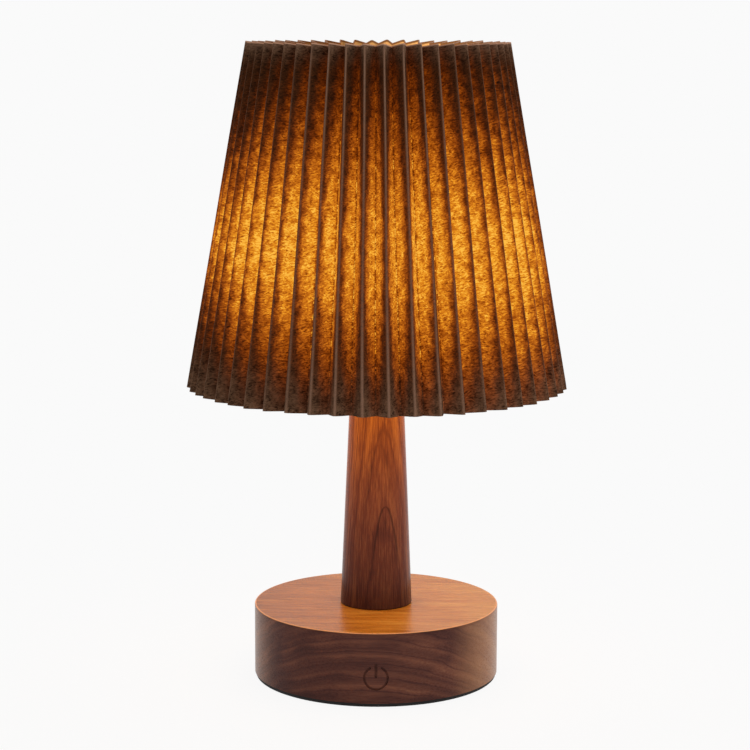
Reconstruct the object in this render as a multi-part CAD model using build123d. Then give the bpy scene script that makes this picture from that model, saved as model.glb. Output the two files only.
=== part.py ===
"""Cordless desk lamp: a turned walnut base and stem with a round pleated paper shade.

Millimetres, +Z up. The origin is the centre of the underside, and the front, with the power
symbol, faces -Y. Every piece is one file in parts/, named after the piece.
"""

import os
from math import atan, cos, hypot, pi, radians, sin, sqrt, tan

from build123d import *

# Foot pad and base
pad_inset = 0.5
pad_thickness = 1.5
base_radius = 50.0
base_height = 28.4
base_wall = 5.0
base_roof = 6.0
base_edge_radius = 0.5
cover_thickness = 2.0
cover_ledge = 2.0
cover_gap = 0.2

# Screw lands in the base, and the screws that hold the cover
land_radius = 4.5
land_inset = 5.2
land_half_angle = 30.0
plate_screw_radius = 1.5
plate_screw_length = 11.0
plate_screw_head = 2.9
screw_hole_gap = 0.15

# Power symbol
symbol_height = 12.0
symbol_radius = 4.6
symbol_groove = 0.9
symbol_depth = 0.6
symbol_gap_half_angle = 30.0
symbol_bar_width = 1.1
symbol_bar_overshoot = 0.7

# Stem, with the tenon that seats it in the base
stem_height = 111.5
stem_foot_radius = 14.65
stem_top_radius = 9.9
stem_edge_radius = 0.4
tenon_radius = 9.0
tenon_depth = 2.0
tenon_gap = 0.1

# All-thread tube with its nut and washer
tube_radius = 5.0
tube_wall = 1.5
tube_gap = 0.2
thread_gap = 0.05
tube_tail = 2.0
tube_engagement = 8.0
base_washer_radius = 10.0
base_washer_thickness = 1.0
base_nut_across_flats = 14.0
base_nut_height = 3.5

# Round cell, its cradle and contacts
cell_radius = 9.2
cell_end_room = 12.5
cell_floor = 0.6
cell_groove_depth = 0.6
cell_groove_width = 1.2
cell_groove_setback = 3.0
cell_cap_radius = 3.0
cell_cap_height = 0.9
saddle_wall = 1.6
saddle_width = 8.0
saddle_inset = 5.5
saddle_grip_half_angle = 55.0
cell_gap = 0.1
strip_width = 11.0
tab_width = 6.0
tab_height = 11.0
tab_thickness = 0.3

# Main board
board_width = 28.0
board_depth = 28.0
board_wall_room = 3.5
board_thickness = 1.6
board_top = 12.4
board_corner_radius = 1.0
board_nose_width = 12.0
board_nose_gap = 0.2
board_screw_radius = 1.0
board_screw_head = 2.0
board_screw_head_height = 1.3
board_screw_length = 6.0
board_screw_inset = 3.0
standoff_radius = 2.6

# What stands on the board
coil_side = 6.0
coil_height = 3.0
controller_side = 5.0
charger_width = 4.0
charger_depth = 3.0
chip_height = 1.1
capacitor_radius = 2.0
capacitor_height = 5.0
capacitor_spacing = 4.8
connector_width = 6.0
connector_depth = 4.0
connector_wire_level = 2.0
connector_setback = 2.0

# Charging socket, its bezel and the charge light
socket_width = 8.94
socket_height = 3.16
socket_depth = 7.4
socket_shell = 0.3
socket_back_wall = 1.4
socket_recess = 3.3
tongue_width = 6.6
tongue_thickness = 0.7
tongue_setback = 0.6
bezel_gap = 0.12
bezel_wall = 1.6
bezel_tail = 0.8
plug_room_width = 12.6
plug_room_height = 6.8
plug_room_depth = 2.2
charge_light_radius = 1.2
charge_light_offset = 11.5
charge_light_gap = 0.05
charge_light_tail = 1.0

# Touch electrode and wires
touch_pad_width = 24.0
touch_pad_height = 15.0
touch_pad_thickness = 0.3
lead_radius = 0.6
touch_lead_radius = 0.4
touch_lead_gap = 0.05
touch_lead_bend = 2.0
touch_lead_landing = 7.0
battery_lead_landing = 10.0
battery_lead_standout = 4.8
battery_lead_bends = (2.1, 4.8, 3.0)
led_lead_spacing = 1.8
led_lead_bend = 6.0

# Lamp holder, and the light on it
holder_rim = 1.0
holder_cup_radius = 13.0
holder_cup_height = 6.0
seat_radius = 19.0
seat_thickness = 2.0
neck_radius = 12.5
neck_height = 12.0
holder_pocket_radius = 9.0
holder_floor = 9.0
led_board_radius = 10.9
led_board_thickness = 1.6
led_board_depth = 5.0
led_board_gap = 0.1
led_chip_count = 8
led_chip_size = 2.8
led_chip_height = 0.7
led_chip_circle = 6.2
diffuser_radius = 12.3
diffuser_height = 32.0
diffuser_wall = 1.2
diffuser_skirt_wall = 1.0

# Shade collar and its clamp
seat_washer_thickness = 1.0
running_gap = 0.08
collar_wall = 2.42
collar_flange_radius = 18.5
collar_flange_thickness = 2.0
fitter_plate_radius = 21.0
fitter_plate_thickness = 2.0
clamp_washer_radius = 19.0
clamp_washer_thickness = 1.0
ring_nut_radius = 20.0
ring_nut_height = 5.0
ring_nut_thread_reach = 6.0
ring_nut_notches = 24
ring_nut_notch_radius = 0.9

# Pleated shade, with radii and heights at the outer folds
pleat_count = 50
first_fold_angle = 2.9
shade_bottom_radius = 77.2
shade_bottom_height = 120.7
shade_top_radius = 53.0
shade_top_height = 258.7
pleat_width = 9.5
paper_thickness = 0.45

# Wire frame of the shade
ring_wire_radius = 1.1
ring_inset = 6.0
ring_gap = 0.05
arm_count = 3
arm_first_angle = 90.0
arm_wire_radius = 1.2
arm_bend_radius = 8.0
arm_reach_in = 5.0
arm_weld_overlap = 1.0

# Levels that follow from the sizes above
pad_radius = base_radius - pad_inset
wood_bottom = pad_thickness
base_top = wood_bottom + base_height
cavity_radius = base_radius - base_wall
cavity_top = base_top - base_roof
cover_top = wood_bottom + cover_thickness
land_circle = cavity_radius - land_inset
stem_top = base_top + stem_height
seat_top = stem_top + holder_cup_height + seat_thickness
neck_top = seat_top + neck_height
led_board_top = neck_top - led_board_depth + led_board_thickness
washer_bottom = cavity_top - base_washer_thickness
nut_bottom = washer_bottom - base_nut_height
tube_bottom = nut_bottom - tube_tail
tube_top = stem_top + tube_engagement
cell_height = cover_top + cell_floor + cell_radius
cell_offset = base_washer_radius + cell_radius
cell_length = 2 * (cavity_radius - cell_end_room)
saddle_spacing = cell_length - 2 * saddle_inset
board_bottom = board_top - board_thickness
socket_centre = board_top + socket_height / 2
socket_mouth = base_radius - socket_recess
board_back = cavity_radius - board_wall_room
board_front = board_back - board_depth
collar_bottom = seat_top + seat_washer_thickness
fitter_bottom = collar_bottom + collar_flange_thickness
clamp_bottom = fitter_bottom + fitter_plate_thickness
ring_nut_bottom = clamp_bottom + clamp_washer_thickness
collar_bore = neck_radius + running_gap
collar_radius = collar_bore + collar_wall
collar_top = ring_nut_bottom + ring_nut_thread_reach
lean = atan((shade_bottom_radius - shade_top_radius) / (shade_top_height - shade_bottom_height))
half_pitch = pi / pleat_count


def ring(outer, inner, bottom, top):
    """Flat ring about Z, or a disc where the inner radius is 0."""
    body = Pos(0, 0, (bottom + top) / 2) * Cylinder(outer, top - bottom)
    if inner > 0:
        body -= Pos(0, 0, (bottom + top) / 2) * Cylinder(inner, top - bottom + 2)
    return body


def turned(*points):
    """Solid of revolution about Z from an outline of (radius, height) points."""
    outline = Polyline(*points, close=True)
    return revolve(Plane.XZ * make_face(outline), Axis.Z)


def around(count, radius, start=0.0):
    """Places on a circle about Z, each turned to face outwards."""
    step = 360.0 / count
    return [Rot(0, 0, start + k * step) * Pos(radius, 0, 0) for k in range(count)]


def land_places():
    """Centres of the four screw lands, two beside the front and two beside the back."""
    angles = (90 - land_half_angle, 90 + land_half_angle, 270 - land_half_angle, 270 + land_half_angle)
    return [Pos(land_circle * cos(radians(a)), land_circle * sin(radians(a)), 0) for a in angles]


def wire_along(points, wire_radius, bends):
    """Round wire along straight runs that tangent arcs join."""
    path = FilletPolyline(*points, radius=bends)
    section = Plane(origin=path @ 0, z_dir=path % 0) * Circle(wire_radius)
    wire = sweep(section, path=path)
    expected = pi * wire_radius**2 * path.length
    print("wire length", round(path.length, 1), "volume over expected", round(wire.volume / expected, 4))
    return wire


def obround_bar(width, height, front, back):
    """Bar along Y with rounded ends, centred on the charging socket's axis."""
    section = Plane.XZ * SlotOverall(width, height)
    bar = extrude(section, amount=(back - front) / 2, both=True)
    return Pos(0, (front + back) / 2, socket_centre) * bar


def power_symbol():
    """Prism of the power symbol: a broken ring with an upright bar in its gap."""
    outer = symbol_radius + symbol_groove / 2
    inner = symbol_radius - symbol_groove / 2
    reach = 2 * outer
    side = reach * tan(radians(symbol_gap_half_angle))
    gap = make_face(Polyline((0, 0), (side, reach), (-side, reach), close=True))
    broken_ring = Circle(outer) - Circle(inner) - gap
    end_x = symbol_radius * sin(radians(symbol_gap_half_angle))
    end_y = symbol_radius * cos(radians(symbol_gap_half_angle))
    for x in (end_x, -end_x):
        broken_ring += Pos(x, end_y) * Circle(symbol_groove / 2)
    bar_length = outer + symbol_bar_overshoot
    bar = Pos(0, bar_length / 2) * Rot(0, 0, 90) * SlotOverall(bar_length, symbol_bar_width)
    prism = extrude(Plane.XZ * (broken_ring + bar), amount=base_radius + 2)
    return Pos(0, 0, symbol_height) * prism


def base_body():
    """Walnut disc, hollow from below, with lands, holes and the engraved symbol."""
    body = ring(base_radius, 0, wood_bottom, base_top)
    body = fillet(body.edges().group_by(Axis.Z)[-1], base_edge_radius)
    body -= ring(cavity_radius, 0, wood_bottom - 1, cavity_top)
    for place in land_places():
        body += place * ring(land_radius, 0, cover_top, cavity_top)
    body -= ring(cavity_radius + cover_ledge, 0, wood_bottom - 1, cover_top)
    body -= ring(tube_radius + tube_gap, 0, cavity_top - 1, base_top + 1)
    body -= ring(tenon_radius + tenon_gap, 0, base_top - tenon_depth - tenon_gap, base_top + 1)
    for place in land_places():
        body -= place * ring(plate_screw_radius, 0, cover_top - 1, wood_bottom + plate_screw_length)
    skin = ring(base_radius + 1, base_radius - symbol_depth, wood_bottom, base_top)
    body -= power_symbol() & skin
    body -= obround_bar(
        bezel_width() + 2 * bezel_gap, bezel_height() + 2 * bezel_gap, cavity_radius - 2, base_radius + 1
    )
    light_hole_radius = charge_light_radius + charge_light_gap
    body -= charge_light_bar(light_hole_radius, charge_light_inner_end(), base_radius + 1)
    return body


def foot_pad():
    """Soft pad glued under the cover, with an eased lower edge."""
    pad = ring(pad_radius, 0, 0, pad_thickness)
    return fillet(pad.edges().group_by(Axis.Z)[0], pad_thickness / 4)


def base_plate():
    """Moulded cover with four standoffs for the board, countersunk for its screws."""
    plate = ring(cavity_radius + cover_ledge - cover_gap, 0, wood_bottom, cover_top)
    for place in standoff_places():
        plate += place * ring(standoff_radius, 0, wood_bottom, board_bottom)
    for place in screwed_standoffs():
        plate -= place * ring(board_screw_radius, 0, board_top - board_screw_length, board_bottom + 1)
    for place in land_places():
        plate -= place * screw_body(screw_hole_gap)
    return plate


def screw_body(gap=0.0):
    """Countersunk screw that points up, its head flush with the cover's underside."""
    shank = plate_screw_radius + gap
    head = plate_screw_head + gap
    cone = head - shank
    return turned(
        (0, wood_bottom),
        (head, wood_bottom),
        (shank, wood_bottom + cone),
        (shank, wood_bottom + plate_screw_length),
        (0, wood_bottom + plate_screw_length),
    )


def plate_screws():
    """Four countersunk screws with a cross recess each."""
    recess_width = plate_screw_radius * 0.5
    recess_length = plate_screw_head * 1.1
    recess_depth = (plate_screw_head - plate_screw_radius) * 0.8
    blade = Pos(0, 0, wood_bottom) * Box(recess_length, recess_width, 2 * recess_depth)
    screw = screw_body() - blade - Rot(0, 0, 90) * blade
    return Compound(children=[place * screw for place in land_places()])


def standoff_places():
    """Centres of the board's four standoffs, near its corners."""
    x = board_width / 2 - board_screw_inset
    front = board_front + board_screw_inset
    back = board_back - socket_depth - board_screw_inset
    return [Pos(x, front, 0), Pos(-x, front, 0), Pos(x, back, 0), Pos(-x, back, 0)]


def screwed_standoffs():
    """The two standoffs, across a diagonal, that take a screw."""
    places = standoff_places()
    return [places[1], places[2]]


def main_board():
    """Circuit board with its two screw holes and a nose under the charging socket."""
    board = Pos(0, board_back - board_depth / 2, (board_bottom + board_top) / 2) * Box(
        board_width, board_depth, board_thickness
    )
    board = fillet(board.edges().filter_by(Axis.Z), board_corner_radius)
    nose_length = cavity_radius - bezel_tail - board_nose_gap - board_back
    board += Pos(0, board_back + nose_length / 2, (board_bottom + board_top) / 2) * Box(
        board_nose_width, nose_length, board_thickness
    )
    for place in screwed_standoffs():
        board -= place * ring(board_screw_radius + screw_hole_gap, 0, board_bottom - 1, board_top + 1)
    return board


def board_screws():
    """Two pan head screws through the board into the standoffs."""
    head = ring(board_screw_head, 0, board_top, board_top + board_screw_head_height)
    shank = ring(board_screw_radius, 0, board_top - board_screw_length, board_top)
    slot = Pos(0, 0, board_top + board_screw_head_height) * Box(
        2 * board_screw_head + 1, board_screw_radius * 0.5, board_screw_head_height
    )
    screw = fillet(head.edges().group_by(Axis.Z)[-1], board_screw_head_height * 0.4) + shank - slot
    return Compound(children=[place * screw for place in screwed_standoffs()])


def block_on_board(width, depth, height, x, y):
    """Rectangular component that stands on the board."""
    return Pos(x, y, board_top + height / 2) * Box(width, depth, height)


def board_parts():
    """Coil, controller, charger, two capacitors and the light's connector, on the board."""
    side = board_width / 4
    middle = board_front + board_depth / 2
    coil = block_on_board(coil_side, coil_side, coil_height, -side, middle)
    coil = fillet(coil.edges().filter_by(Axis.Z), coil_side / 4)
    controller = block_on_board(controller_side, controller_side, chip_height, side / 2, middle)
    charger_y = middle + controller_side / 2 + charger_depth
    charger = block_on_board(charger_width, charger_depth, chip_height, side / 2, charger_y)
    capacitor = ring(capacitor_radius, 0, board_top, board_top + capacitor_height)
    capacitor = fillet(capacitor.edges().group_by(Axis.Z)[-1], capacitor_radius / 5)
    first = middle + coil_side / 2 + 1.5 * capacitor_radius
    capacitors = [Pos(-side + k * capacitor_spacing, first, 0) * capacitor for k in (0, 1)]
    plug_height = connector_wire_level + 2 * lead_radius
    plug_y = connector_front() + connector_depth / 2
    connector = block_on_board(connector_width, connector_depth, plug_height, 0, plug_y)
    return Compound(children=[coil, controller, charger, *capacitors, connector])


def connector_front():
    """Front face of the light's connector, along Y."""
    return board_front + connector_setback


def socket_shell_bar(shrink, front, back):
    """Bar of the socket's outline, drawn in by the given amount on each side."""
    return obround_bar(socket_width - 2 * shrink, socket_height - 2 * shrink, front, back)


def usb_c_port():
    """Charging socket: a drawn metal shell, closed at its back, with the contact tongue."""
    back = socket_mouth - socket_depth
    shell = socket_shell_bar(0, back, socket_mouth)
    shell -= socket_shell_bar(socket_shell, back + socket_back_wall, socket_mouth + 1)
    tongue_back = back + socket_back_wall / 2
    tongue_front = socket_mouth - tongue_setback
    tongue = Pos(0, (tongue_back + tongue_front) / 2, socket_centre) * Box(
        tongue_width, tongue_front - tongue_back, tongue_thickness
    )
    return shell + tongue


def bezel_width():
    """Outer width of the bezel."""
    return plug_room_width + 2 * bezel_wall


def bezel_height():
    """Outer height of the bezel."""
    return plug_room_height + 2 * bezel_wall


def port_bezel():
    """Sleeve through the wood: room for a plug's overmould in front, the socket's shell behind."""
    sleeve = obround_bar(bezel_width(), bezel_height(), cavity_radius - bezel_tail, base_radius + 1)
    sleeve &= ring(base_radius, 0, wood_bottom, base_top)
    sleeve -= obround_bar(plug_room_width, plug_room_height, base_radius - plug_room_depth, base_radius + 1)
    sleeve -= socket_shell_bar(-bezel_gap, cavity_radius - 2 * bezel_tail, base_radius)
    return sleeve


def charge_light_bar(radius, front, back):
    """Round bar along Y at the charge light's place."""
    bar = Rot(90, 0, 0) * Cylinder(radius, back - front)
    return Pos(charge_light_offset, (front + back) / 2, socket_centre) * bar


def charge_light_inner_end():
    """Where the light guide ends inside the cavity, along Y."""
    return sqrt(cavity_radius**2 - (charge_light_offset + charge_light_radius) ** 2) - charge_light_tail


def charge_light():
    """Clear light guide beside the socket, flush with the wood."""
    guide = charge_light_bar(charge_light_radius, charge_light_inner_end(), base_radius + 1)
    return guide & ring(base_radius, 0, wood_bottom, base_top)


def touch_pad():
    """Curved copper electrode on the cavity's wall, behind the symbol."""
    sheet = ring(cavity_radius, cavity_radius - touch_pad_thickness, wood_bottom, base_top)
    window = Pos(0, -cavity_radius, symbol_height) * Box(touch_pad_width, cavity_radius / 2, touch_pad_height)
    return sheet & window


def touch_lead():
    """Wire from the electrode over the cell to the board."""
    x = touch_pad_width / 2 - 2 * touch_lead_radius
    wall = sqrt((cavity_radius - touch_pad_thickness) ** 2 - (x + touch_lead_radius) ** 2)
    y_pad = -(wall - touch_lead_radius - touch_lead_gap)
    y_board = board_front + touch_lead_landing
    over_cell = (cell_height + cell_radius + cavity_top) / 2
    points = [
        (x, y_pad, symbol_height),
        (x, y_pad, over_cell),
        (x, y_board, over_cell),
        (x, y_board, board_top),
    ]
    return wire_along(points, touch_lead_radius, [touch_lead_bend, touch_lead_bend])


def battery_cell():
    """Round cell along X, with a rolled groove near its raised cap end."""
    end = cell_length / 2
    shoulder = end - cell_cap_height
    groove = shoulder - cell_groove_setback
    outline = Polyline(
        (-end, 0),
        (-end, cell_radius),
        (groove - cell_groove_width, cell_radius),
        (groove - cell_groove_width / 2, cell_radius - cell_groove_depth),
        (groove + cell_groove_width / 2, cell_radius - cell_groove_depth),
        (groove + cell_groove_width, cell_radius),
        (shoulder, cell_radius),
        (shoulder, cell_cap_radius),
        (end, cell_cap_radius),
        (end, 0),
        close=True,
    )
    cell = revolve(Plane.XY * make_face(outline), Axis.X)
    return Pos(0, -cell_offset, cell_height) * cell


def cell_bore(radius, length):
    """Bar along X on the cell's axis."""
    return Pos(0, -cell_offset, cell_height) * Rot(0, 90, 0) * Cylinder(radius, length)


def battery_cradle():
    """Two saddles on a strip, which grip the cell from below."""
    strip_length = saddle_spacing + saddle_width
    strip = Pos(0, -cell_offset, cover_top + cell_floor / 2) * Box(strip_length, strip_width, cell_floor)
    outer = cell_radius + cell_gap + saddle_wall
    lip = cell_height + outer * sin(radians(90 - saddle_grip_half_angle))
    cradle = strip
    for x in (-saddle_spacing / 2, saddle_spacing / 2):
        saddle_height = lip - cover_top
        cradle += Pos(x, -cell_offset, cover_top + saddle_height / 2) * Box(
            saddle_width, 2 * outer, saddle_height
        )
    cradle -= cell_bore(cell_radius + cell_gap, strip_length + 2)
    mouth_half = (cell_radius + cell_gap) * sin(radians(saddle_grip_half_angle))
    mouth_height = lip - cell_height
    mouth = Pos(0, -cell_offset, cell_height + mouth_height) * Box(
        strip_length + 2, 2 * mouth_half, 2 * mouth_height
    )
    return cradle - mouth


def battery_tabs():
    """Two contact strips, one welded to each end of the cell."""
    x = cell_length / 2 + tab_thickness / 2
    tab = Box(tab_thickness, tab_width, tab_height)
    return Compound(children=[Pos(s * x, -cell_offset, cell_height) * tab for s in (-1, 1)])


def battery_leads():
    """Two wires from the contact strips round the nut to the board's sides."""
    x_tab = cell_length / 2 + tab_thickness
    x_out = x_tab + battery_lead_standout
    x_board = board_width / 2 - 4 * lead_radius
    z_lead = board_top + lead_radius
    y_board = board_front + battery_lead_landing
    points = [
        (x_tab, -cell_offset, z_lead),
        (x_out, -cell_offset, z_lead),
        (x_out, y_board - board_front, z_lead),
        (x_board + 10 * lead_radius, y_board, z_lead),
        (x_board, y_board, z_lead),
    ]
    right = wire_along(points, lead_radius, battery_lead_bends)
    return Compound(children=[right, mirror(right, Plane.YZ)])


def stem():
    """Tapered column with a tenon below and a bore for the tube."""
    column = turned(
        (0, base_top - tenon_depth),
        (tenon_radius, base_top - tenon_depth),
        (tenon_radius, base_top),
        (stem_foot_radius, base_top),
        (stem_top_radius, stem_top),
        (0, stem_top),
    )
    foot = column.edges().filter_by(GeomType.CIRCLE).sort_by(SortBy.RADIUS)[-1]
    column = fillet(foot, stem_edge_radius)
    return column - ring(tube_radius + tube_gap, 0, base_top - tenon_depth - 1, stem_top + 1)


def threaded_tube():
    """Hollow tube from below the nut up into the lamp holder."""
    return ring(tube_radius, tube_radius - tube_wall, tube_bottom, tube_top)


def base_washer():
    """Flat washer under the base's roof."""
    return ring(base_washer_radius, tube_radius + tube_gap, washer_bottom, cavity_top)


def base_nut():
    """Hexagon nut with eased corners."""
    across_corners = base_nut_across_flats / cos(pi / 6)
    blank = extrude(RegularPolygon(across_corners / 2, 6), amount=base_nut_height)
    ease = (across_corners - base_nut_across_flats) / 2
    dome = turned(
        (0, 0),
        (base_nut_across_flats / 2, 0),
        (across_corners / 2, ease / 2),
        (across_corners / 2, base_nut_height),
        (0, base_nut_height),
    )
    nut = Pos(0, 0, nut_bottom) * (blank & dome)
    return nut - ring(tube_radius + thread_gap, 0, nut_bottom - 1, washer_bottom + 1)


def led_leads():
    """Pair of wires from the board's connector up the tube to the light's board."""
    start = board_top + connector_wire_level
    top = led_board_top - led_board_thickness
    wires = []
    for side in (-1, 1):
        x = side * led_lead_spacing / 2
        points = [(x, connector_front(), start), (x, 0, start), (x, 0, top)]
        wires.append(wire_along(points, lead_radius, [led_lead_bend]))
    return Compound(children=wires)


def lamp_holder():
    """Turned holder: cup, shade seat and neck, bored for the tube and the light's board."""
    cup_bottom_radius = stem_top_radius + holder_rim
    outline = turned(
        (0, stem_top),
        (cup_bottom_radius, stem_top),
        (holder_cup_radius, seat_top - seat_thickness),
        (seat_radius, seat_top - seat_thickness),
        (seat_radius, seat_top),
        (neck_radius, seat_top),
        (neck_radius, neck_top),
        (0, neck_top),
    )
    holder = outline - ring(tube_radius + thread_gap, 0, stem_top - 1, stem_top + holder_floor)
    holder -= ring(holder_pocket_radius, 0, stem_top + holder_floor, neck_top + 1)
    ledge = led_board_top - led_board_thickness
    return holder - ring(led_board_radius + led_board_gap, 0, ledge, neck_top + 1)


def led_board():
    """Round board of the light source."""
    return ring(led_board_radius, 0, led_board_top - led_board_thickness, led_board_top)


def led_chips():
    """Ring of light chips on the board."""
    chip = Pos(0, 0, led_board_top + led_chip_height / 2) * Box(led_chip_size, led_chip_size, led_chip_height)
    return Compound(children=[place * chip for place in around(led_chip_count, led_chip_circle)])


def diffuser():
    """Frosted cap: a domed sleeve on the neck's rim, with a skirt down to the light's board."""
    top = neck_top + diffuser_height
    dome_start = top - diffuser_radius
    inner_radius = diffuser_radius - diffuser_wall
    sleeve = ring(diffuser_radius, 0, neck_top, dome_start)
    sleeve += Pos(0, 0, dome_start) * Sphere(diffuser_radius)
    hollow = ring(inner_radius, 0, neck_top - 1, dome_start)
    hollow += Pos(0, 0, dome_start) * Sphere(inner_radius)
    skirt_bore = led_board_radius - diffuser_skirt_wall
    collar = ring(diffuser_radius, skirt_bore, neck_top, neck_top + diffuser_wall)
    skirt = ring(led_board_radius, skirt_bore, led_board_top, neck_top + diffuser_wall)
    return (sleeve - hollow) + collar + skirt


def seat_washer():
    """Low friction washer between the holder's seat and the collar."""
    return ring(collar_flange_radius, collar_bore, seat_top, collar_bottom)


def shade_collar():
    """Sleeve round the neck, with a flange that carries the fitter plate."""
    flange = ring(collar_flange_radius, collar_bore, collar_bottom, fitter_bottom)
    return flange + ring(collar_radius, collar_bore, collar_bottom, collar_top)


def clamp_washer():
    """Washer between the fitter plate and the ring nut."""
    return ring(clamp_washer_radius, collar_radius + running_gap, clamp_bottom, ring_nut_bottom)


def shade_ring_nut():
    """Ring nut with grip notches round its rim."""
    top = ring_nut_bottom + ring_nut_height
    nut = ring(ring_nut_radius, collar_radius + running_gap, ring_nut_bottom, top)
    nut = chamfer(nut.edges().group_by(Axis.Z)[-1].sort_by(SortBy.RADIUS)[-1], ring_nut_notch_radius / 2)
    notch = ring(ring_nut_notch_radius, 0, ring_nut_bottom - 1, top + 1)
    for place in around(ring_nut_notches, ring_nut_radius):
        nut -= place * notch
    return nut


def inner_fold(outer_fold):
    """Radius of the inner fold at a rim, from the panel's width between its two folds.

    The rim is cut square to the folds, so a point drops by tan(lean) for each step inwards.
    """
    drop = tan(lean) ** 2
    a = 1 + drop
    b = -2 * outer_fold * (cos(half_pitch) + drop)
    c = outer_fold**2 * (1 + drop) - pleat_width**2
    return (-b - sqrt(b * b - 4 * a * c)) / (2 * a)


def fold_radii(outer_fold):
    """The four fold radii at a rim: outer and inner fold on the paper's outside and inside."""
    valley = inner_fold(outer_fold)
    across = valley * sin(half_pitch)
    ridge_half_angle = atan(across / (outer_fold - valley * cos(half_pitch)))
    valley_half_angle = ridge_half_angle + half_pitch
    ridge_inside = outer_fold - paper_thickness / sin(ridge_half_angle)
    valley_inside = valley - paper_thickness / sin(valley_half_angle)
    return outer_fold, valley, ridge_inside, valley_inside


def rim_point(outer_fold, rim_height, fold_radius, index):
    """Point on a rim: folds alternate by half a pitch, and the rim is square to the folds."""
    angle = radians(first_fold_angle - 90) + index * half_pitch
    height = rim_height - (outer_fold - fold_radius) * tan(lean)
    return (fold_radius * cos(angle), fold_radius * sin(angle), height)


def shade_paper():
    """Pleated paper: each panel is a patch between two folds, outside and inside, closed at the rims."""
    rims = []
    bottom = (shade_bottom_radius, shade_bottom_height)
    top = (shade_top_radius, shade_top_height)
    for outer_fold, height in (bottom, top):
        ridge, valley, ridge_inside, valley_inside = fold_radii(outer_fold)
        skins = []
        for at_ridge, at_valley in ((ridge, valley), (ridge_inside, valley_inside)):
            radii = (at_ridge, at_valley)
            skins.append([rim_point(outer_fold, height, radii[k % 2], k) for k in range(2 * pleat_count)])
        rims.append(skins)
    (low_out, low_in), (high_out, high_in) = rims
    faces = []
    for k in range(2 * pleat_count):
        n = (k + 1) % (2 * pleat_count)
        for a, b in ((low_out, high_out), (high_out, high_in), (high_in, low_in), (low_in, low_out)):
            faces.append(Face.make_bezier_surface([[a[k], a[n]], [b[k], b[n]]]))
    return Solid(Shell(faces))


def inner_skin_radius(height):
    """Radius of the inner folds' inside at a height, along the straight fold line."""
    low = rim_point(shade_bottom_radius, shade_bottom_height, fold_radii(shade_bottom_radius)[3], 0)
    high = rim_point(shade_top_radius, shade_top_height, fold_radii(shade_top_radius)[3], 0)
    low_radius = hypot(low[0], low[1])
    high_radius = hypot(high[0], high[1])
    share = (height - low[2]) / (high[2] - low[2])
    return low_radius + share * (high_radius - low_radius)


def frame_ring(height):
    """Wire ring that touches the inner folds from inside at a height."""
    return Pos(0, 0, height) * Torus(ring_circle(height), ring_wire_radius)


def ring_circle(height):
    """Centre line radius of the wire ring at a height, clear of the sloping folds."""
    return inner_skin_radius(height) - ring_wire_radius / cos(lean) - ring_gap


def bottom_ring_height():
    """Height of the lower wire ring."""
    return shade_bottom_height + ring_inset


def top_ring_height():
    """Height of the upper wire ring."""
    return shade_top_height - ring_inset


def shade_spider():
    """Fitter plate with three wire arms down to the lower ring."""
    spider = ring(fitter_plate_radius, collar_radius + thread_gap, fitter_bottom, clamp_bottom)
    start_height = fitter_bottom + fitter_plate_thickness / 2
    end_height = bottom_ring_height()
    start = fitter_plate_radius - arm_weld_overlap
    level = fitter_plate_radius + arm_reach_in
    end = ring_circle(end_height) - ring_wire_radius
    points = [
        (start, 0, start_height),
        (level, 0, start_height),
        (end - arm_reach_in, 0, end_height),
        (end, 0, end_height),
    ]
    arm = wire_along(points, arm_wire_radius, [arm_bend_radius, arm_bend_radius])
    for place in around(arm_count, 0, arm_first_angle):
        spider += place * arm
    return spider


PIECES = {
    "base_body": base_body,
    "base_plate": base_plate,
    "foot_pad": foot_pad,
    "plate_screws": plate_screws,
    "battery_cell": battery_cell,
    "battery_cradle": battery_cradle,
    "battery_tabs": battery_tabs,
    "battery_leads": battery_leads,
    "main_board": main_board,
    "board_parts": board_parts,
    "board_screws": board_screws,
    "usb_c_port": usb_c_port,
    "port_bezel": port_bezel,
    "charge_light": charge_light,
    "touch_pad": touch_pad,
    "touch_lead": touch_lead,
    "stem": stem,
    "threaded_tube": threaded_tube,
    "base_washer": base_washer,
    "base_nut": base_nut,
    "led_leads": led_leads,
    "lamp_holder": lamp_holder,
    "led_board": led_board,
    "led_chips": led_chips,
    "diffuser": diffuser,
    "seat_washer": seat_washer,
    "shade_collar": shade_collar,
    "shade_spider": shade_spider,
    "clamp_washer": clamp_washer,
    "shade_ring_nut": shade_ring_nut,
    "shade_paper": shade_paper,
    "top_ring": lambda: frame_ring(top_ring_height()),
    "bottom_ring": lambda: frame_ring(bottom_ring_height()),
}

os.makedirs("parts", exist_ok=True)
for name, make in PIECES.items():
    export_step(make(), f"parts/{name}.step")
    print("wrote", name)
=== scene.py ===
"""Looks of a cordless desk lamp with a walnut base and stem and a round pleated paper shade.

Metres, +Z up, front towards -Y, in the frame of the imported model. The wooden, moulded and metal pieces keep
their meshes and get finishes here. The pleated shade is made here as a folded sheet with rounded creases.
"""

import logging
import math
from collections.abc import Mapping, Sequence
from dataclasses import dataclass
from enum import Enum, IntEnum
from typing import Protocol

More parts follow.
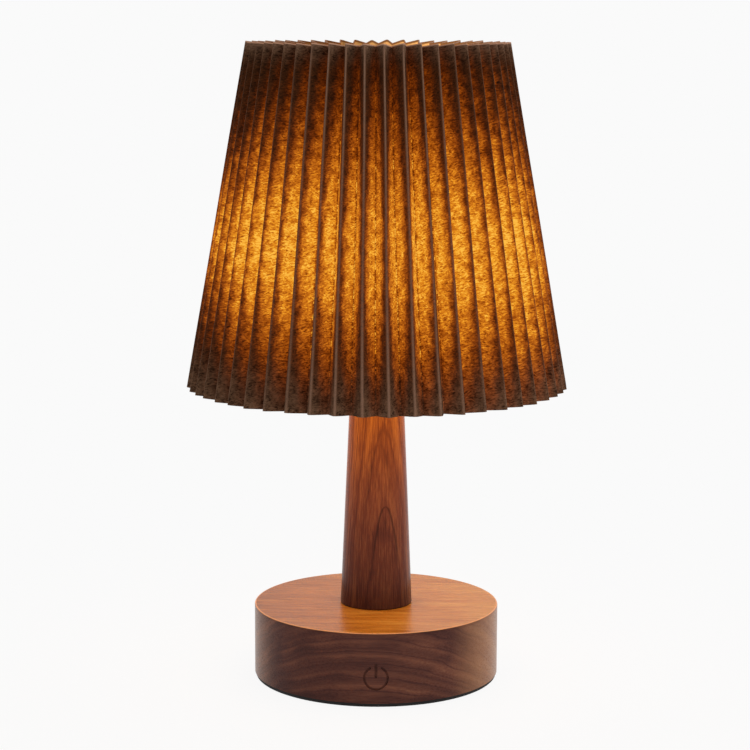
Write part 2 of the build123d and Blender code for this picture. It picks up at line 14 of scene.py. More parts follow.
import bpy
import numpy as np
from mathutils import Matrix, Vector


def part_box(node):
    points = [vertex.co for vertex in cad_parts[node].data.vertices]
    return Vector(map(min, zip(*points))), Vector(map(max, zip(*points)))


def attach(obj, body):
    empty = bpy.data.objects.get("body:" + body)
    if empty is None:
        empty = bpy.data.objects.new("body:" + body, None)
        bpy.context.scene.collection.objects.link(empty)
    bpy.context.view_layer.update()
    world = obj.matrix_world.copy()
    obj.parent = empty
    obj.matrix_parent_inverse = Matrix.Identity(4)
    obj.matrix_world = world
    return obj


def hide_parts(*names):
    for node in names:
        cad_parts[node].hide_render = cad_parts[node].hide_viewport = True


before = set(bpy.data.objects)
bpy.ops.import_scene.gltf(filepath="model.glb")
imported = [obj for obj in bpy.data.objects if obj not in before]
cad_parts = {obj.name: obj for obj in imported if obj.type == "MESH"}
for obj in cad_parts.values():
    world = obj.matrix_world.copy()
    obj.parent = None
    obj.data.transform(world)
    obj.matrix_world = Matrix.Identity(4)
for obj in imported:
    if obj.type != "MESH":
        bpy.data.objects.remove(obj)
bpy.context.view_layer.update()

logging.basicConfig(level=logging.INFO, format="%(message)s")
log = logging.getLogger("desk_lamp")

MILLIMETRE = 0.001
SHARP_ANGLE = math.radians(60)
SHEET_MAP = "sheet"
Colour = tuple[float, float, float]
Array = np.ndarray


def srgb(red: int, green: int, blue: int) -> Colour:
    """Linear colour of a screen's colour, given by values from 0 to 255."""
    return tuple(((c / 255 + 0.055) / 1.055) ** 2.4 for c in (red, green, blue))


def scaled(colour: Colour, factor: float) -> Colour:
    """Colour with each of its values times a factor."""
    return tuple(c * factor for c in colour)


@dataclass(frozen=True)
class Signal:
    """One output of a material's nodes, with arithmetic on it written as Python.

    Numbers go through Math nodes, colours through Mix nodes and vectors through Vector Math nodes.
    """

    graph: "Graph"
    socket: bpy.types.NodeSocket

    def _meet(self, operation: str, other: "Operand", swapped: bool = False) -> "Signal":
        """Combines this signal with another operand.

        Args:
            operation: ADD, SUBTRACT, MULTIPLY or DIVIDE.
            other: The other signal, number or triple.
            swapped: Whether the other operand comes first.

        Returns:
            The combined signal.
        """
        first, second = (other, self) if swapped else (self, other)
        kinds = {x.socket.type for x in (first, second) if isinstance(x, Signal)}
        if "RGBA" in kinds:
            settings = {"data_type": "RGBA", "blend_type": operation}
            inputs = {"Factor_Float": 1.0, "A_Color": first, "B_Color": second}
            return self.graph.node("ShaderNodeMix", settings, inputs, "Result_Color")
        node_type = "ShaderNodeVectorMath" if "VECTOR" in kinds else "ShaderNodeMath"
        return self.graph.node(node_type, {"operation": operation}, {0: first, 1: second})

    def __add__(self, other: "Operand") -> "Signal":
        """Sum of both."""
        return self._meet("ADD", other)

    def __sub__(self, other: "Operand") -> "Signal":
        """This less the other."""
        return self._meet("SUBTRACT", other)

    def __rsub__(self, other: "Operand") -> "Signal":
        """The other less this."""
        return self._meet("SUBTRACT", other, swapped=True)

    def __mul__(self, other: "Operand") -> "Signal":
        """Product of both."""
        return self._meet("MULTIPLY", other)

    def __truediv__(self, other: "Operand") -> "Signal":
        """This over the other."""
        return self._meet("DIVIDE", other)

    __radd__ = __add__
    __rmul__ = __mul__


Operand = Signal | float | Sequence[float]


class Graph:
    """Node tree of one material or of the world, built from signals."""

    def __init__(self, owner: bpy.types.Material | bpy.types.World) -> None:
        """Empties the owner's tree.

        Args:
            owner: The material or world that holds the tree.
        """
        owner.use_nodes = True
        self.owner = owner
        self.tree = owner.node_tree
        self.tree.nodes.clear()

    @classmethod
    def of_material(cls, name: str) -> "Graph":
        """Graph of a new material with this name."""
        return cls(bpy.data.materials.new(name))

    def node(
        self,
        node_type: str,
        settings: Mapping[str, object] | None = None,
        inputs: Mapping[str | int, Operand] | None = None,
        output: str | int | None = 0,
    ) -> Signal | None:
        """Adds one node.

        Args:
            node_type: Blender's name of the node's type.
            settings: Properties that are set first. The key stops holds a ramp's places and colours.
            inputs: Values or signals by socket name, identifier or number.
            output: Name, identifier or number of the socket that is returned, or None where it has none.

        Returns:
            The signal of the chosen output.
        """
        made = self.tree.nodes.new(node_type)
        for key, value in (settings or {}).items():
            if key == "stops":
                self._set_stops(made.color_ramp, value)
            else:
                setattr(made, key, value)
        for key, value in (inputs or {}).items():
            self._feed(self._socket(made.inputs, key), value)
        return None if output is None else Signal(self, self._socket(made.outputs, output))

    @staticmethod
    def _socket(sockets: bpy.types.bpy_prop_collection, key: str | int) -> bpy.types.NodeSocket:
        """Socket with this number, identifier or name."""
        named = (s for s in sockets if key in (s.identifier, s.name) and s.enabled)
        return sockets[key] if isinstance(key, int) else next(named)

    def _feed(self, socket: bpy.types.NodeSocket, value: Operand) -> None:
        """Links a signal to a socket or sets the socket's value.

        Args:
            socket: Input of a node.
            value: The signal, number or triple.
        """
        if isinstance(value, Signal):
            self.tree.links.new(value.socket, socket)
        elif socket.type == "RGBA":
            triple = value if isinstance(value, Sequence) else (value,) * 3
            socket.default_value = (*triple, 1.0)
        elif socket.type == "VECTOR" and not isinstance(value, Sequence):
            socket.default_value = (value,) * 3
        else:
            socket.default_value = value

    @staticmethod
    def _set_stops(ramp: bpy.types.ColorRamp, stops: Sequence[tuple[float, Colour]]) -> None:
        """Gives a colour ramp its stops.

        Args:
            ramp: The ramp, as new.
            stops: Places from 0 to 1 with their colours.
        """
        while len(ramp.elements) < len(stops):
            ramp.elements.new(1.0)
        for element, (place, colour) in zip(ramp.elements, stops):
            element.position = place
            element.color = (*colour, 1.0)

    def place(self) -> Signal:
        """Place on the piece in millimetres."""
        return self.node("ShaderNodeTexCoord", output="Object") * (1 / MILLIMETRE)

    def split(self, vector: Signal) -> tuple[Signal, Signal, Signal]:
        """The three parts of a vector."""
        outputs = self.node("ShaderNodeSeparateXYZ", inputs={0: vector}).socket.node.outputs
        return tuple(Signal(self, outputs[k]) for k in range(3))

    def join(self, x: Operand, y: Operand, z: Operand) -> Signal:
        """Vector of three numbers."""
        return self.node("ShaderNodeCombineXYZ", inputs={0: x, 1: y, 2: z})

    def noise(self, vector: Signal, detail: float = 2.0, roughness: float = 0.5) -> Signal:
        """Smooth noise from 0 to 1 with cells of about one unit and detail in finer octaves."""
        inputs = {"Vector": vector, "Scale": 1.0, "Detail": detail, "Roughness": roughness}
        return self.node("ShaderNodeTexNoise", {"noise_dimensions": "3D"}, inputs)

    def ramp(self, value: Signal, stops: Sequence[tuple[float, Colour]]) -> Signal:
        """Colour looked up by a value from 0 to 1."""
        return self.node("ShaderNodeValToRGB", {"stops": stops}, {0: value})

    def math(self, operation: str, *values: Operand) -> Signal:
        """Math node with this operation."""
        return self.node("ShaderNodeMath", {"operation": operation}, dict(enumerate(values)))

    def rise(self, value: Signal, low: float, high: float) -> Signal:
        """Smooth step from 0 at low to 1 at high."""
        inputs = {"Value": value, "From Min": low, "From Max": high}
        return self.node("ShaderNodeMapRange", {"interpolation_type": "SMOOTHSTEP"}, inputs, "Result")

    def blend(self, share: Operand, first: Operand, second: Operand) -> Signal:
        """Colour between two colours."""
        inputs = {"Factor_Float": share, "A_Color": first, "B_Color": second}
        return self.node("ShaderNodeMix", {"data_type": "RGBA"}, inputs, "Result_Color")

    def relief(self, height: Signal, depth: float) -> Signal:
        """Normal of a relief from 0 to 1 whose whole depth is in millimetres."""
        return self.node("ShaderNodeBump", inputs={"Distance": depth * MILLIMETRE, "Height": height})

    def surface(self, inputs: Mapping[str, Operand]) -> bpy.types.Material:
        """Closes the material with the principled shader.

        Args:
            inputs: Values or signals of the shader's sockets.

        Returns:
            The finished material.
        """
        shader = self.node("ShaderNodeBsdfPrincipled", inputs=inputs)
        self.node("ShaderNodeOutputMaterial", inputs={"Surface": shader}, output=None)
        return self.owner


class Grain(Enum):
    """Which axis the fibres of a walnut piece run along."""

    ALONG_X = 0
    ALONG_Z = 2

    def stretch(self, along: float, across: float) -> tuple[float, ...]:
        """Factors that squeeze a pattern across the fibres more than along them."""
        return tuple(along if axis == self.value else across for axis in range(3))


@dataclass(frozen=True)
class Walnut:
    """Satin walnut with growth layers, fibre streaks and pores.

    The growth layers are slightly wavy planes. A turned surface cuts them, which gives the arches on its own.
    Streaks, clouds and pores have their cells per millimetre along the fibres and across them.
    """

    name: str
    grain: Grain
    layers_face: tuple[float, float, float]
    dark: Colour
    middle: Colour
    light: Colour
    pale: Colour
    layer_width: float
    broad_share: float
    streak_share: float
    line_share: float
    pore_share: float = 0.35
    roughness: float = 0.28
    refraction: float = 1.34
    streak_cells: tuple[float, float] = (0.06, 2.2)
    cloud_cells: tuple[float, float] = (0.02, 0.07)
    pore_cells: tuple[float, float] = (0.13, 4.2)
    layer_waves: float = 5.0
    line_width: float = 0.11
    relief_depth: float = 0.02

    def material(self) -> bpy.types.Material:
        """Builds the wood.

        The tone is the sum of broad layers, fibre streaks and clouds, less thin dark lines between layers. It
        is looked up in a ramp of browns.

        Returns:
            The finished material.
        """
        graph = Graph.of_material(self.name)
        place = graph.place()
        streak = graph.noise(place * self.grain.stretch(*self.streak_cells), 3.0, 0.62) - 0.5
        cloud = graph.noise(place * self.grain.stretch(*self.cloud_cells)) - 0.5
        dot_product = {"operation": "DOT_PRODUCT"}
        through = graph.node("ShaderNodeVectorMath", dot_product, {0: place, 1: self.layers_face}, 1)
        layer = (through + cloud * self.layer_waves + streak * 0.5) * (1 / self.layer_width)
        broad = graph.noise(graph.join(layer, cloud * 1.5, 0.0), 2.0, 0.6) - 0.5
        line = 1 - graph.rise(graph.math("PINGPONG", layer, 0.5), 0.0, self.line_width)
        pore = graph.rise(graph.noise(place * self.grain.stretch(*self.pore_cells), 1.0), 0.62, 0.72)
        tone = 0.5 + broad * self.broad_share + streak * self.streak_share + cloud * 0.3
        tone = tone - line * (0.5 + cloud * 2.0) * self.line_share
        stops = ((0.2, self.dark), (0.46, self.middle), (0.66, self.light), (0.95, self.pale))
        colour = self._coloured(graph, place, tone, graph.ramp(tone, stops))
        inputs = {
            "Base Color": graph.blend(pore * self.pore_share, colour, colour * 0.5),
            "Roughness": self.roughness + streak * 0.14 + pore * 0.1,
            "IOR": self.refraction,
            "Normal": graph.relief(streak * 0.5 - pore * 0.4 + 0.5, self.relief_depth),
        }
        return graph.surface(inputs)

    def _coloured(self, graph: Graph, place: Signal, tone: Signal, colour: Signal) -> Signal:
        """The wood's colour at a place, which is that of its tone here."""
        return colour


@dataclass(frozen=True)
class BaseWalnut(Walnut):
    """Walnut of the base: painted lamp light on the top, painted light on the left and right sides, a painted
    highlight along the top edge with painted shade under it, and a darker engraved groove.

    The painted paler sides start at one distance in X from their middle and are full at another. Sizes are in
    millimetres.
    """

    top_level: float = 28.0
    skin_radius: float = 50.0
    pale_sides_middle: float = -5.0
    pale_sides_reach: tuple[float, float] = (33.0, 52.0)
    lamplit_top_dark: Colour = (0.25, 0.086, 0.01)
    lamplit_top_middle: Colour = (0.4, 0.155, 0.02)
    lamplit_top_light: Colour = (0.52, 0.27, 0.055)
    groove_and_shade_tint: Colour = (0.7, 0.55, 0.45)

    def _coloured(self, graph: Graph, place: Signal, tone: Signal, colour: Signal) -> Signal:
        """The wood's colour on the top, at the sides and in the groove.

        Args:
            graph: The material's graph.
            place: Place in millimetres.
            tone: The wood's tone from 0 to 1.
            colour: The colour of that tone.

        Returns:
            The colour there.
        """
        x, y, z = graph.split(place)
        top, skin = self.top_level, self.skin_radius
        on_top = graph.rise(z, top - 0.3, top - 0.1)
        # Painted shade in a band just under the top edge.
        under_edge_shade = graph.rise(z, top - 1.6, top - 0.5)
        grain = graph.noise(place * self.grain.stretch(0.05, 0.9), 2.0, 0.7) - 0.5
        # Painted lamp light: the top is paler and warmer than the side, and brighter towards +X.
        lamplit_top_tone = (tone - 0.5) * 0.8 + grain * 1.1 + x * 0.004 + 0.5
        lamplit_top_stops = ((0.2, self.lamplit_top_dark), (0.5, self.lamplit_top_middle), (0.8, self.lamplit_top_light))
        radius = graph.math("SQRT", x * x + y * y)
        # Painted highlight along the rounded top edge.
        edge_highlight = graph.rise(radius, skin - 0.8, skin - 0.4)
        lamplit_top_colour = graph.blend(edge_highlight, graph.ramp(lamplit_top_tone, lamplit_top_stops), scaled(self.pale, 1.3))
        in_groove = 1 - graph.rise(radius, skin - 0.5, skin - 0.12)
        in_groove = in_groove * (1 - graph.rise(z, top - 3, top - 2))
        # Painted light: the side is paler towards its left and right ends, as lit from both sides.
        painted_pale_sides = graph.rise(graph.math("ABSOLUTE", x - self.pale_sides_middle), *self.pale_sides_reach)
        side = graph.blend(painted_pale_sides, colour, graph.blend(tone, self.light, self.pale))
        # Darker in the engraved groove, and painted shade just under the top edge.
        shaded = graph.math("MAXIMUM", in_groove * 0.75, under_edge_shade * 0.4)
        side = graph.blend(shaded, side, side * self.groove_and_shade_tint)
        return graph.blend(on_top, side, lamplit_top_colour)


@dataclass(frozen=True)
class StemWalnut(Walnut):
    """Walnut of the stem, with painted shade towards its foot, painted lamp light near its top, and two
    arches in front.

    Each arch is the height of its peak, its place to the right of the middle and its share of darkening.
    """

    foot_level: float = 28.0
    arches: tuple[tuple[float, float, float], ...] = ((72.5, 3.6, 0.8), (98.0, 1.0, 0.22))
    arch_spread: float = 1.2
    arch_line: float = 0.9
    arch_fade: tuple[float, float] = (14.0, 36.0)
    dark_tint: Colour = (0.26, 0.27, 0.32)
    lamplit_stem_tint: Colour = (1.0, 1.0, 0.28)

    def _arch(self, graph: Graph, aside: Signal, below: Signal) -> Signal:
        """Thin line of an arch, whose distance from the middle is the root of its depth below the peak.

        Args:
            graph: The material's graph.
            aside: Distance to the right of the arch's middle.
            below: Depth below the arch's peak.

        Returns:
            One on the line and zero off it, fading out downwards.
        """
        half_width = graph.math("SQRT", graph.math("MAXIMUM", below * self.arch_spread, 0.0))
        off = graph.math("ABSOLUTE", graph.math("ABSOLUTE", aside) - half_width)
        line = (1 - graph.rise(off, 0.0, self.arch_line)) * graph.rise(below, -0.6, 0.4)
        return line * (1 - graph.rise(below, *self.arch_fade))

    def _coloured(self, graph: Graph, place: Signal, tone: Signal, colour: Signal) -> Signal:
        """The wood's colour up the stem.

        Args:
            graph: The material's graph.
            place: Place in millimetres.
            tone: The wood's tone from 0 to 1.
            colour: The colour of that tone.

        Returns:
            The colour there.
        """
        x, y, z = graph.split(place)
        foot = self.foot_level
        # Painted shade: darker towards the foot, most of all just above it.
        darker = (1 - graph.rise(z, foot - 6, foot + 62)) * 0.5
        darker = darker + (1 - graph.rise(z, foot - 2, foot + 24)) * 0.42
        in_front = graph.rise(y * -1.0, 2.0, 6.0)
        for peak, aside, share in self.arches:
            line = self._arch(graph, x - aside + (tone - 0.5) * 1.6, peak - z)
            darker = graph.math("MAXIMUM", darker, line * in_front * share)
        # Painted lamp light: less blue, so warmer, towards the top under the shade.
        lamplit_stem = graph.blend(graph.rise(z, foot + 35, foot + 95), colour, colour * self.lamplit_stem_tint)
        return graph.blend(darker, lamplit_stem, lamplit_stem * self.dark_tint)


@dataclass(frozen=True)
class PleatedPaper:
    """Brown fibre paper, folded and lit from within.

    The sheet's own map counts panels along u, with a ridge at each even number and a valley at each odd one,
    and runs from 0 at the lower rim to 1 at the upper rim along v.
    """

    panel_width: float
    fold_length: float
    low_rim: float
    high_rim: float
    brightest_height: float = 180.0
    reach_up: float = 45.0
    reach_down: float = 39.5
    glow: float = 0.78
    glow_tilt: float = 0.04
    glow_widening: float = 0.0025
    seam_panel: float = 47.0
    crest: float = 0.19
    inner_strength: float = 4.5
    roughness: float = 0.85
    refraction: float = 1.2
    body_dark: Colour = (0.026, 0.009, 0.0025)
    body_light: Colour = (0.088, 0.031, 0.0095)
    rim_body: Colour = (0.23, 0.13, 0.075)
    abraded_and_highlit_crest: Colour = (0.3, 0.165, 0.105)
    edge: Colour = (0.4, 0.22, 0.14)

    def _sheet(self, graph: Graph) -> tuple[Signal, Signal, Signal]:
        """The sheet's coordinates.

        Args:
            graph: The material's graph.

        Returns:
            The panel count, the share of the way from ridge to valley, and the place on the flat sheet in
            millimetres.
        """
        sheet = graph.node("ShaderNodeUVMap", {"uv_map": SHEET_MAP})
        count, share_up, _ = graph.split(sheet)
        flat = graph.join(count * self.panel_width, share_up * self.fold_length, 0.0)
        return count, graph.math("PINGPONG", count, 1.0), flat

    def _fibres(self, graph: Graph, flat: Signal) -> tuple[Signal, Signal]:
        """The paper's pattern, around zero.

        Args:
            graph: The material's graph.
            flat: Place on the flat sheet in millimetres.

        Returns:
            The short curled fibres, mostly level, and the cloudy density of the pulp.
        """
        x, y, _ = graph.split(flat)
        curl = graph.noise(flat * (0.35, 0.5, 1.0), 1.0) - 0.5
        fibre = graph.noise(graph.join(x * 0.7 + curl * 2.0, y * 1.9 + curl * 4.0, 0.0), 3.5, 0.68) - 0.5
        cloud = graph.noise(flat * (0.26, 0.28, 1.0), 3.0, 0.62) - 0.5
        return fibre, cloud

    def _glow_at(self, graph: Graph, height: Signal, widen: Operand) -> Signal:
        """Light that reaches a height: a bell round the light source, narrower downwards.

        Args:
            graph: The material's graph.
            height: Height in millimetres.
            widen: How many times wider the bell is than it is by its own sizes.

        Returns:
            The light from 0 to 1.
        """
        away = (height - self.brightest_height) / widen
        far = graph.math("MAXIMUM", away * (1 / self.reach_up), away * (-1 / self.reach_down))
        return graph.math("EXPONENT", far * far * -1.0)

    def _near_rims(self, graph: Graph, height: Signal) -> Signal:
        """One at both rims, fading to zero a little way in."""
        low = 1 - graph.rise(height, self.low_rim - 4, self.low_rim + 24)
        return graph.math("MAXIMUM", low, graph.rise(height, self.high_rim - 11, self.high_rim + 1))

    def _at_top_cut(self, graph: Graph, flat: Signal, full: float, reach: float) -> Signal:
        """One along the upper cut, up to a distance from it in millimetres, fading to zero at another."""
        _, along, _ = graph.split(flat)
        return graph.rise(along, self.fold_length - reach, self.fold_length - full)

    def outside(self) -> bpy.types.Material:
        """Builds the paper's outer face.

        The glow is the light at that height, times its rise from the dark ridge to the bright middle of the
        panel, times the unevenness of the fibres. A ramp of reds and oranges gives its colour. The ridges are
        painted pale, partly as abrasion and partly as a painted highlight, most in front and at the back.

        Returns:
            The finished material.
        """
        graph = Graph.of_material("paper_outside")
        count, to_valley, flat = self._sheet(graph)
        x, y, height = graph.split(graph.place())
        fibre, cloud = self._fibres(graph, flat)
        panel = graph.math("FLOOR", count)
        odds = graph.node("ShaderNodeTexWhiteNoise", {"noise_dimensions": "1D"}, {"W": panel}, "Value") - 0.5
        at_seam = graph.math("COMPARE", panel, self.seam_panel, 0.1)
        front = graph.rise(y * y / (x * x + y * y), 0.5, 1.0)
        rims = self._near_rims(graph, height)
        bell = self._glow_at(graph, height + x * self.glow_tilt, 1 + x * self.glow_widening)
        shade_edge = graph.noise(flat * (0.3, 0.12, 1.0), 3.0, 0.65) - 0.5
        filled = to_valley - front * 0.1 + bell * 0.24 + shade_edge * 0.6 + odds * 0.18
        filled = graph.rise(filled, 0.24, 0.72)
        in_valley = 1 - graph.rise(to_valley, 0.9, 0.97) * 0.5
        crest = 1 - graph.rise(to_valley + fibre * 0.2, 0.02, self.crest)
        reach = bell * (1 - front * 0.12) * (1 - rims * 0.6) * self.glow
        reach = reach * (0.15 + filled * 0.85) * in_valley * (1 + odds * 0.26) * (1 - at_seam * 0.4)
        pinholes = graph.rise(to_valley, 0.955, 0.985) * graph.rise(fibre + cloud, 0.02, 0.1)
        uneven = (1 + fibre * (5.2 - bell * 1.6) + pinholes * 3.0) * (1 + cloud * (3.2 - bell * 1.4))
        light = reach * uneven * (1 - crest * front * 0.5)
        glow_stops = (
            (0.0, (0.0, 0.0, 0.0)),
            (0.05, (0.036, 0.005, 0.0)),
            (0.13, (0.12, 0.019, 0.0)),
            (0.28, (0.29, 0.059, 0.002)),
            (0.5, (0.53, 0.142, 0.006)),
            (0.68, (0.73, 0.24, 0.012)),
            (0.83, (0.88, 0.36, 0.016)),
            (1.0, (0.95, 0.5, 0.06)),
        )
        body = graph.blend(fibre * 3.5 + cloud * 2.0 + 0.5, self.body_dark, self.body_light)
        body = graph.blend(rims * (fibre * 3.2 + cloud * 2.0 + 0.5), body, self.rim_body)
        # Painted highlight, partly abrasion: a thin pale line along each ridge.
        thin_line = (1 - graph.rise(to_valley, 0.02, 0.07)) * 0.3
        near_ridge = 1 - graph.rise(to_valley, 0.1, 0.6)
        top_patch = graph.rise(height, self.high_rim - 4.0, self.high_rim - 0.5) * near_ridge
        # The crests are painted pale, strongest in front and at the back, partly as abrasion and partly as a
        # painted highlight; a pale patch by the ridges under the upper rim joins them.
        abrasion_and_highlight = graph.math("MAXIMUM", crest * front, thin_line)
        abrasion_and_highlight = graph.math("MAXIMUM", abrasion_and_highlight, top_patch * 0.5) * (1 + fibre * 2.0) * (1 - bell * 0.5)
        body = graph.blend(abrasion_and_highlight, body, self.abraded_and_highlit_crest)
        inputs = {
            "Base Color": graph.blend(self._at_top_cut(graph, flat, 0.3, 0.6), body, scaled(self.edge, 1.8)),
            "Roughness": self.roughness + fibre * 0.2,
            "IOR": self.refraction,
            "Normal": graph.relief(fibre + 0.5, 0.06),
            "Emission Color": graph.ramp(light, glow_stops),
            "Emission Strength": 1.0,
        }
        material = graph.surface(inputs)
        material.cycles.emission_sampling = "NONE"
        return material

    def inside(self) -> bpy.types.Material:
        """Builds the paper's inner face, which the light strikes most low down and at the right.

        Returns:
            The finished material.
        """
        graph = Graph.of_material("paper_inside")
        _, to_valley, flat = self._sheet(graph)
        x, _, height = graph.split(graph.place())
        fibre, cloud = self._fibres(graph, flat)
        high = graph.rise(height, self.high_rim - 45, self.high_rim - 5)
        shaded = high * (0.58 + (1 - graph.rise(x, -26.0, 22.0)) * 0.36)
        light = (self._glow_at(graph, height, 2.6) * 0.9 + 0.1) * (1 - to_valley * 0.35) * (1 - shaded)
        light = light * (1 - self._at_top_cut(graph, flat, 0.5, 1.1) * 0.85)
        stops = (
            (0.0, (0.01, 0.004, 0.001)),
            (0.3, (0.24, 0.125, 0.04)),
            (0.7, (0.75, 0.4, 0.13)),
            (1.0, (1.0, 0.64, 0.26)),
        )
        inputs = {
            "Base Color": graph.blend(cloud + 0.5, self.body_light, scaled(self.body_light, 2.0)),
            "Roughness": self.roughness,
            "IOR": self.refraction,
            "Normal": graph.relief(fibre + 0.5, 0.05),
            "Emission Color": graph.ramp(light * (1 + fibre * 1.6 + cloud * 0.6), stops),
            "Emission Strength": self.inner_strength,
        }
        return graph.surface(inputs)

    def cut(self) -> bpy.types.Material:
        """Builds the cut rim of the paper.

        Returns:
            The finished material.
        """
        graph = Graph.of_material("paper_cut")
        _, _, flat = self._sheet(graph)
        fibre, cloud = self._fibres(graph, flat * 2.0)
        inputs = {
            "Base Color": graph.blend(fibre + cloud + 0.5, scaled(self.edge, 0.6), scaled(self.edge, 1.4)),
            "Roughness": 0.9,
            "IOR": self.refraction,
            "Normal": graph.relief(fibre + 0.5, 0.05),
            # The faint emission paints the light from within showing through the cut edge.
            "Emission Color": graph.blend(cloud + 0.5, (0.012, 0.004, 0.0), (0.03, 0.01, 0.001)),
            "Emission Strength": 1.0,
        }
        return graph.surface(inputs)


@dataclass(frozen=True)
class Moulded:
    """Moulded plastic or rubber: faint clouds in the colour and a fine spark-eroded texture."""

    name: str
    colour: Colour
    roughness: float = 0.45
    refraction: float = 1.46
    texture_depth: float = 0.012
    texture_size: float = 0.25
    glow: float = 0.0

    def material(self) -> bpy.types.Material:
        """Builds the plastic.

        Returns:
            The finished material.
        """
        graph = Graph.of_material(self.name)
        place = graph.place()
        cloud = graph.noise(place * 0.12)
        texture = graph.noise(place * (1 / self.texture_size))
        inputs = {
            "Base Color": graph.blend(cloud, scaled(self.colour, 0.88), scaled(self.colour, 1.12)),
            "Roughness": self.roughness + (cloud - 0.5) * 0.12 + (texture - 0.5) * 0.1,
            "IOR": self.refraction,
            "Normal": graph.relief(texture, self.texture_depth),
        }
        if self.glow:
            inputs["Emission Color"] = graph.blend(cloud, scaled(self.colour, 0.9), self.colour)
            inputs["Emission Strength"] = self.glow
        return graph.surface(inputs)


@dataclass(frozen=True)
class Turned:
    """Turned or drawn metal: fine rings round Z that catch the light, with faint stains."""

    name: str
    colour: Colour
    roughness: float = 0.28
    ring_width: float = 0.14

    def material(self) -> bpy.types.Material:
        """Builds the metal, with rings by the distance from the axis and by the height.

        Returns:
            The finished material.
        """
        graph = Graph.of_material(self.name)
        place = graph.place()
        x, y, z = graph.split(place)
        radius = graph.math("SQRT", x * x + y * y)
        per_ring = 1 / self.ring_width
        rings = graph.noise(graph.join(radius * per_ring, z * per_ring, 0.0), 1.0)
        stain = graph.noise(place * 0.3, 3.0)
        inputs = {
            "Base Color": graph.blend(stain, scaled(self.colour, 0.85), scaled(self.colour, 1.1)),
            "Metallic": 1.0,
            "Roughness": self.roughness + (rings - 0.5) * 0.2 + (stain - 0.5) * 0.12,
            "Normal": graph.relief(rings, 0.006),
        }
        return graph.surface(inputs)


@dataclass(frozen=True)
class FrostedCap:
    """Frosted cap over the light source, which glows warm white and dims towards its foot."""

    foot: float
    crown: float
    colour: Colour = srgb(255, 236, 206)
    strength: float = 6.0

    def material(self) -> bpy.types.Material:
        """Builds the glowing cap.

        Returns:
            The finished material.
        """
        graph = Graph.of_material("frosted_plastic")
        place = graph.place()
        _, _, z = graph.split(place)
        frost = graph.noise(place * 4.0)
        up = graph.rise(z, self.foot, self.foot + 0.3 * (self.crown - self.foot))
        lit = graph.blend(up, scaled(self.colour, 0.45), self.colour)
        inputs = {
            "Base Color": graph.blend(frost, srgb(226, 220, 208), srgb(238, 234, 226)),
            "Roughness": 0.5 + (frost - 0.5) * 0.2,
            "Normal": graph.relief(frost, 0.01),
            "Emission Color": lit,
            "Emission Strength": self.strength,
        }
        return graph.surface(inputs)


@dataclass(frozen=True)
class CircuitBoard:
    """Solder resist over copper tracks, with bare pads."""

    name: str
    resist: Colour
    track: Colour
    pad: Colour = srgb(214, 190, 120)
    pitch: float = 1.27

    def material(self) -> bpy.types.Material:
        """Builds the board, with tracks of stepped noise and pads on a grid of the board's pitch.

        Returns:
            The finished material.
        """
        graph = Graph.of_material(self.name)
        place = graph.place()
        cells = graph.node("ShaderNodeVectorMath", {"operation": "SNAP"}, {0: place, 1: (self.pitch,) * 3})
        which = graph.node("ShaderNodeTexWhiteNoise", {"noise_dimensions": "3D"}, {"Vector": cells}, "Value")
        routes = graph.noise(place * (0.25, 0.9, 1.0), 1.0)
        on_track = graph.rise(graph.math("PINGPONG", routes * 8.0, 0.5), 0.2, 0.26)
        on_pad = graph.rise(which, 0.93, 0.94)
        colour = graph.blend(on_pad, graph.blend(on_track, self.resist, self.track), self.pad)
        inputs = {
            "Base Color": colour,
            "Roughness": 0.38 - on_pad * 0.1,
            "Metallic": on_pad * 0.8,
            "Normal": graph.relief(on_track, 0.03),
        }
        return graph.surface(inputs)


def linked(name: str, data: bpy.types.ID) -> bpy.types.Object:
    """New object in the scene.

    Args:
        name: The object's name.
        data: Its mesh or camera.

    Returns:
        The object.
    """
    made = bpy.data.objects.new(name, data)
    bpy.context.scene.collection.objects.link(made)
    return made


def grid_object(
    name: str,
    points: Array,
    across: Array,
    along: Array,
    faces_of: Array,
    materials: Sequence[bpy.types.Material],
) -> bpy.types.Object:
    """Mesh of a grid that closes on itself both ways, with the sheet's own map.

    Args:
        name: The object's name.
        points: Rows by columns by three, in metres.
        across: Map coordinate of each column, with one more for the closing column.
        along: Map coordinate of each row, with one more for the closing row.
        faces_of: Which material each row of faces takes.
        materials: The materials.

    Returns:
        The linked object, at the origin.
    """
    rows, columns, _ = points.shape
    row, column = np.meshgrid(np.arange(rows), np.arange(columns), indexing="ij")
    next_row, next_column = (row + 1) % rows, (column + 1) % columns
    corners = ((row, column), (row, next_column), (next_row, next_column), (next_row, column))
    loops = np.stack([r * columns + c for r, c in corners], axis=-1).reshape(-1)
    u = np.stack([across[column], across[column + 1], across[column + 1], across[column]], axis=-1)
    v = np.stack([along[row], along[row], along[row + 1], along[row + 1]], axis=-1)
    mesh = bpy.data.meshes.new(name)
    mesh.vertices.add(rows * columns)
    mesh.vertices.foreach_set("co", points.reshape(-1).astype(np.float32))
    mesh.loops.add(loops.size)
    mesh.loops.foreach_set("vertex_index", loops.astype(np.int32))
    mesh.polygons.add(rows * columns)
    mesh.polygons.foreach_set("loop_start", np.arange(0, loops.size, 4, dtype=np.int32))
    mesh.polygons.foreach_set("material_index", np.repeat(faces_of, columns).astype(np.int32))
    mesh.update(calc_edges=True)
    sheet = mesh.uv_layers.new(name=SHEET_MAP)
    sheet.uv.foreach_set("vector", np.stack([u, v], axis=-1).reshape(-1).astype(np.float32))
    for material in materials:
        mesh.materials.append(material)
    mesh.shade_smooth()
    mesh.set_sharp_from_angle(angle=SHARP_ANGLE)
    mesh.validate()
    return linked(name, mesh)


